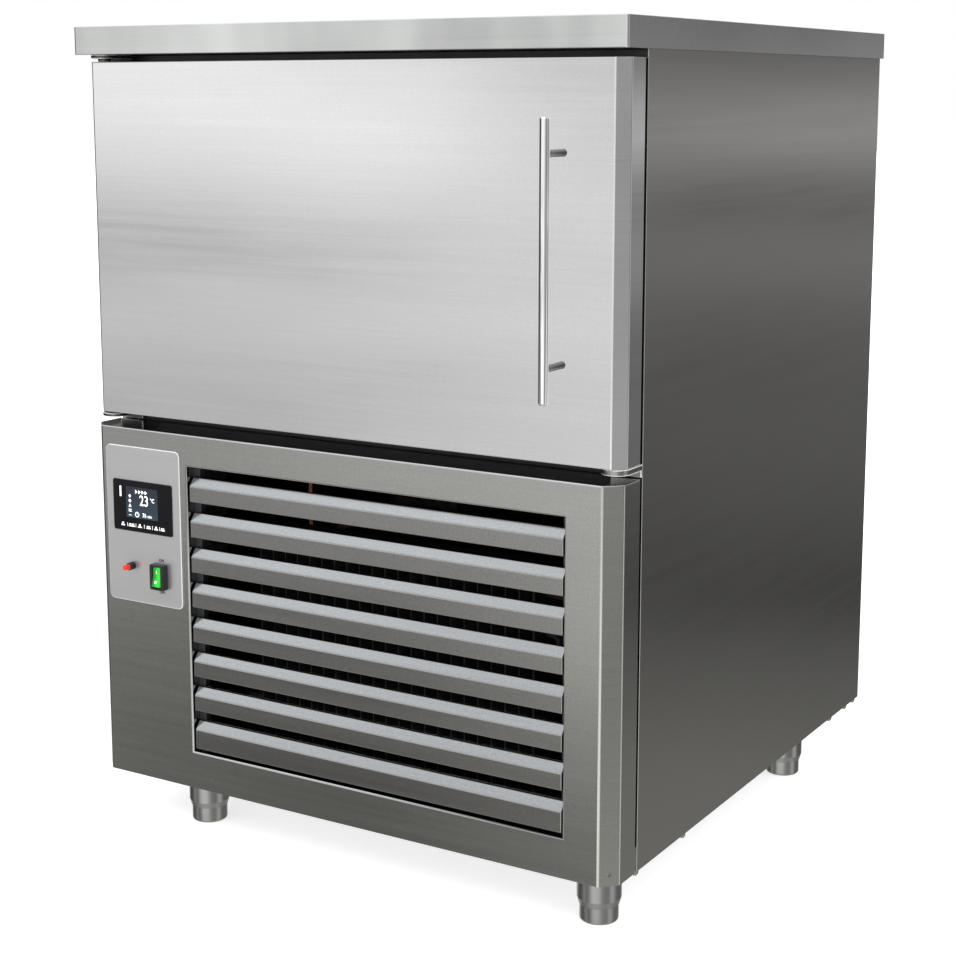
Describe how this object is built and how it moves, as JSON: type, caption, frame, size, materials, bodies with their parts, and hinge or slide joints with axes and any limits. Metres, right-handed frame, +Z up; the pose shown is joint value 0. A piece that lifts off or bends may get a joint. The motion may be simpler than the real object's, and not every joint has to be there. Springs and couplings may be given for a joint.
{
  "type": "blast chiller",
  "caption": "Free-standing steel blast chiller: insulated chamber with a hinged door above, louvred condensing unit and control fascia below, on levelling feet.",
  "frame": {"origin": "on the floor, under the middle of the whole machine's width and depth", "axes": "+Z up, -Y towards the person at the door, +X to that person's right"},
  "size_m": [0.813, 0.8728, 1.0795],
  "materials": {
    "worktop_steel": "fine brushed",
    "door_steel": "fine brushed, level grain",
    "panel_steel": "fine brushed, level grain",
    "side_steel": "fine brushed, level grain",
    "blade_steel": "fine brushed",
    "fascia_steel": "satin",
    "liner_steel": "satin",
    "rack_steel": "satin",
    "foot_steel": "turned",
    "bracket_steel": "satin",
    "handle_chrome": "polished",
    "galvanised_sheet": "galvanised",
    "fin_aluminium": "mill",
    "black_paint": "satin",
    "copper_tube": "drawn copper",
    "insulation_foam": "rigid foam",
    "black_plastic": "fine grain",
    "display_gloss": "gloss",
    "green_key": "translucent, lit",
    "red_cap": "gloss",
    "gasket_rubber": "matte"
  },
  "bodies": {
    "cabinet": {"worktop": "worktop_steel", "side_panel_left": "side_steel", "side_panel_right": "side_steel", "rear_panel": "galvanised_sheet", "base_tray": "galvanised_sheet", "control_box": "galvanised_sheet", "chamber_deck": "galvanised_sheet", "condenser_shroud": "galvanised_sheet", "front_panel": "panel_steel", "louvre_frame": "black_paint", "evaporator_fan_motor": "black_paint", "condenser_fan_motor": "black_paint", "compressor": "black_paint", "liquid_receiver": "black_paint", "louvre_blade_1": "blade_steel", "louvre_blade_2": "blade_steel", "louvre_blade_3": "blade_steel", "louvre_blade_4": "blade_steel", "louvre_blade_5": "blade_steel", "louvre_blade_6": "blade_steel", "louvre_blade_7": "blade_steel", "louvre_blade_8": "blade_steel", "control_fascia": "fascia_steel", "display_module": "display_gloss", "rocker_housing": "black_plastic", "button_barrel": "black_plastic", "front_frame": "black_plastic", "suction_pipe": "black_plastic", "cabinet_insulation": "insulation_foam", "chamber_liner": "liner_steel", "fan_panel": "liner_steel", "rack_left": "rack_steel", "rack_right": "rack_steel", "evaporator_coil": "fin_aluminium", "condenser_coil": "fin_aluminium", "filter_drier": "copper_tube", "liquid_pipe": "copper_tube", "discharge_pipe": "copper_tube", "hinge_bracket_top": "bracket_steel", "hinge_bracket_bottom": "bracket_steel", "door_rest_bracket": "bracket_steel", "foot_sleeve_front_left": "foot_steel", "foot_sleeve_front_right": "foot_steel", "foot_sleeve_rear_left": "foot_steel", "foot_sleeve_rear_right": "foot_steel"},
    "door": {"door_skin": "door_steel", "door_insulation": "insulation_foam", "door_liner": "liner_steel", "door_gasket": "gasket_rubber", "handle_bar": "handle_chrome", "handle_post_top": "handle_chrome", "handle_post_bottom": "handle_chrome"},
    "rocker": {"rocker_key": "green_key"},
    "button": {"button_cap": "red_cap"},
    "evaporator_fan": {"evaporator_fan": "fin_aluminium"},
    "condenser_fan": {"condenser_fan": "fin_aluminium"},
    "foot_front_left": {"foot_insert_front_left": "foot_steel"},
    "foot_front_right": {"foot_insert_front_right": "foot_steel"},
    "foot_rear_left": {"foot_insert_rear_left": "foot_steel"},
    "foot_rear_right": {"foot_insert_rear_right": "foot_steel"}
  },
  "joints": [
    {"name": "door_swing", "type": "hinge", "parent": "cabinet", "child": "door", "pos_m": [-0.382, -0.3656, 0.80175], "axis": [0, 0, -1], "range_deg": [0, 115]},
    {"name": "rocker_tilt", "type": "hinge", "parent": "cabinet", "child": "rocker", "pos_m": [-0.281, -0.4051, 0.3555], "axis": [1, 0, 0], "range_deg": [0, 18]},
    {"name": "button_press", "type": "slide", "parent": "cabinet", "child": "button", "axis": [0, 1, 0], "range_m": [0, 0.003], "stiffness_N_per_m": 400, "springref_m": -0.001},
    {"name": "evaporator_fan_spin", "type": "hinge", "parent": "cabinet", "child": "evaporator_fan", "pos_m": [0, 0.1426, 0.8017], "axis": [0, 1, 0], "continuous": true},
    {"name": "condenser_fan_spin", "type": "hinge", "parent": "cabinet", "child": "condenser_fan", "pos_m": [0.049, -0.2146, 0.2385], "axis": [0, 1, 0], "continuous": true},
    {"name": "level_front_left", "type": "slide", "parent": "cabinet", "child": "foot_front_left", "axis": [0, 0, 1], "range_m": [-0.02, 0.01]},
    {"name": "level_front_right", "type": "slide", "parent": "cabinet", "child": "foot_front_right", "axis": [0, 0, 1], "range_m": [-0.02, 0.01]},
    {"name": "level_rear_left", "type": "slide", "parent": "cabinet", "child": "foot_rear_left", "axis": [0, 0, 1], "range_m": [-0.02, 0.01]},
    {"name": "level_rear_right", "type": "slide", "parent": "cabinet", "child": "foot_rear_right", "axis": [0, 0, 1], "range_m": [-0.02, 0.01]}
  ]
}
